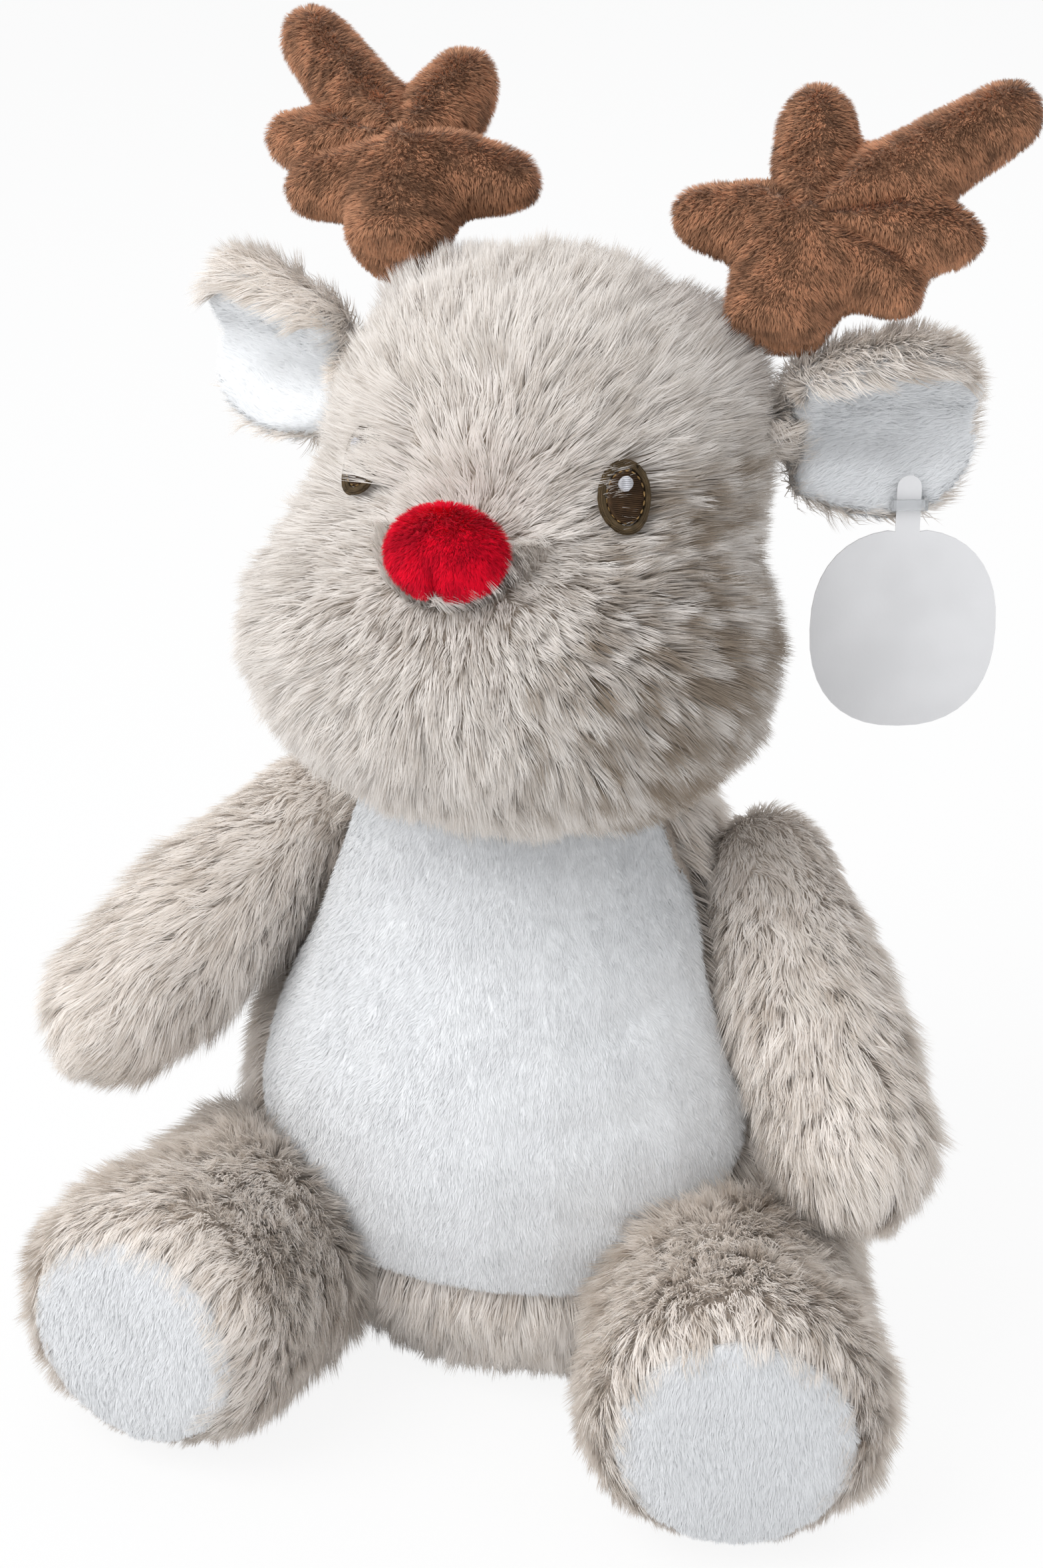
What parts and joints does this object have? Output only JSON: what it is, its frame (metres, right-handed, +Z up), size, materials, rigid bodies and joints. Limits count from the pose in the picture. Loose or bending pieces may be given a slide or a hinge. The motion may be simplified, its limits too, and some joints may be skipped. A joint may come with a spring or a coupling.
{
  "type": "sitting plush deer",
  "caption": "Seated soft toy deer with long beige pile, white belly and soles, brown padded antlers, red nose, leaf-shaped ears and a blank swing tag.",
  "frame": {"origin": "middle of the flat seat under the torso, on the floor that the deer sits on", "axes": "+Z up, -Y the way that the deer faces, +X the deer's left"},
  "size_m": [0.2289, 0.2105, 0.3209],
  "materials": {
    "long_pile": "long beige pile with cream tips and taupe roots",
    "white_short_pile": "white short brushed plush",
    "brown_velour": "mid-brown short velour",
    "red_short_pile": "bright red short plush",
    "polyester_filling": "loose white polyester fibre, out of sight",
    "dark_brown_thread": "satin-stitched thread",
    "gold_brown_thread": "satin-stitched thread",
    "white_thread": "satin-stitched thread",
    "grey_card": "plain light-grey coated card",
    "clear_plastic": "clear flexible plastic"
  },
  "bodies": {
    "torso": {"torso_cover": "long_pile", "belly_panel": "white_short_pile", "torso_filling": "polyester_filling", "tail": "long_pile"},
    "head": {"head_cover": "long_pile", "head_filling": "polyester_filling", "nose": "red_short_pile", "eye_left": "dark_brown_thread", "eye_ring_left": "gold_brown_thread", "eye_glint_left": "white_thread", "eye_right": "dark_brown_thread", "eye_ring_right": "gold_brown_thread", "eye_glint_right": "white_thread"},
    "ear_left": {"ear_back_left": "long_pile", "ear_lining_left": "white_short_pile", "tag_band": "clear_plastic"},
    "ear_right": {"ear_back_right": "long_pile", "ear_lining_right": "white_short_pile"},
    "antler_left": {"antler_cover_left": "brown_velour", "antler_filling_left": "polyester_filling"},
    "antler_right": {"antler_cover_right": "brown_velour", "antler_filling_right": "polyester_filling"},
    "arm_left": {"arm_cover_left": "long_pile", "arm_filling_left": "polyester_filling"},
    "arm_right": {"arm_cover_right": "long_pile", "arm_filling_right": "polyester_filling"},
    "leg_left": {"leg_cover_left": "long_pile", "leg_filling_left": "polyester_filling", "sole_left": "white_short_pile"},
    "leg_right": {"leg_cover_right": "long_pile", "leg_filling_right": "polyester_filling", "sole_right": "white_short_pile"},
    "tag": {"tag_card": "grey_card"}
  },
  "joints": [
    {"name": "neck_turn", "type": "hinge", "parent": "torso", "child": "head", "pos_m": [-0.004, 0, 0.15], "axis": [0, 0, 1], "range_deg": [-30, 30], "stiffness_Nm_per_rad": 0.6},
    {"name": "shoulder_left", "type": "hinge", "parent": "torso", "child": "arm_left", "pos_m": [0.057, 0, 0.12599], "axis": [-0.7933, -0.6088, 0], "range_deg": [0, 42], "stiffness_Nm_per_rad": 0.12},
    {"name": "shoulder_right", "type": "hinge", "parent": "torso", "child": "arm_right", "pos_m": [-0.061, 0, 0.12599], "axis": [-0.8346, 0.5508, 0], "range_deg": [0, 32], "stiffness_Nm_per_rad": 0.12},
    {"name": "hip_left", "type": "hinge", "parent": "torso", "child": "leg_left", "pos_m": [0, 0, 0.057], "axis": [-1, 0, 0], "range_deg": [-25, 0], "stiffness_Nm_per_rad": 0.2},
    {"name": "hip_right", "type": "hinge", "parent": "torso", "child": "leg_right", "pos_m": [0, 0, 0.057], "axis": [-1, 0, 0], "range_deg": [-25, 6], "stiffness_Nm_per_rad": 0.2},
    {"name": "ear_root_left", "type": "hinge", "parent": "head", "child": "ear_left", "pos_m": [0.05136, 0.01321, 0.23221], "axis": [0.0547, -0.1862, 0.981], "range_deg": [-15, 15], "stiffness_Nm_per_rad": 0.03},
    {"name": "ear_root_right", "type": "hinge", "parent": "head", "child": "ear_right", "pos_m": [-0.05089, 0.01142, 0.23757], "axis": [0.0546, -0.1863, 0.981], "range_deg": [-15, 15], "stiffness_Nm_per_rad": 0.03},
    {"name": "antler_root_left", "type": "hinge", "parent": "head", "child": "antler_left", "pos_m": [0.04918, 0.00814, 0.2587], "axis": [0.9963, 0.0456, -0.0728], "range_deg": [-12, 12], "stiffness_Nm_per_rad": 0.06},
    {"name": "antler_root_right", "type": "hinge", "parent": "head", "child": "antler_right", "pos_m": [-0.03795, 0.00939, 0.27], "axis": [0.9958, -0.0584, -0.0703], "range_deg": [-12, 12], "stiffness_Nm_per_rad": 0.06},
    {"name": "tag_swing", "type": "hinge", "parent": "ear_left", "child": "tag", "pos_m": [0.08343, 0.02234, 0.21495], "axis": [0.9397, 0.342, 0], "range_deg": [-30, 12]}
  ]
}
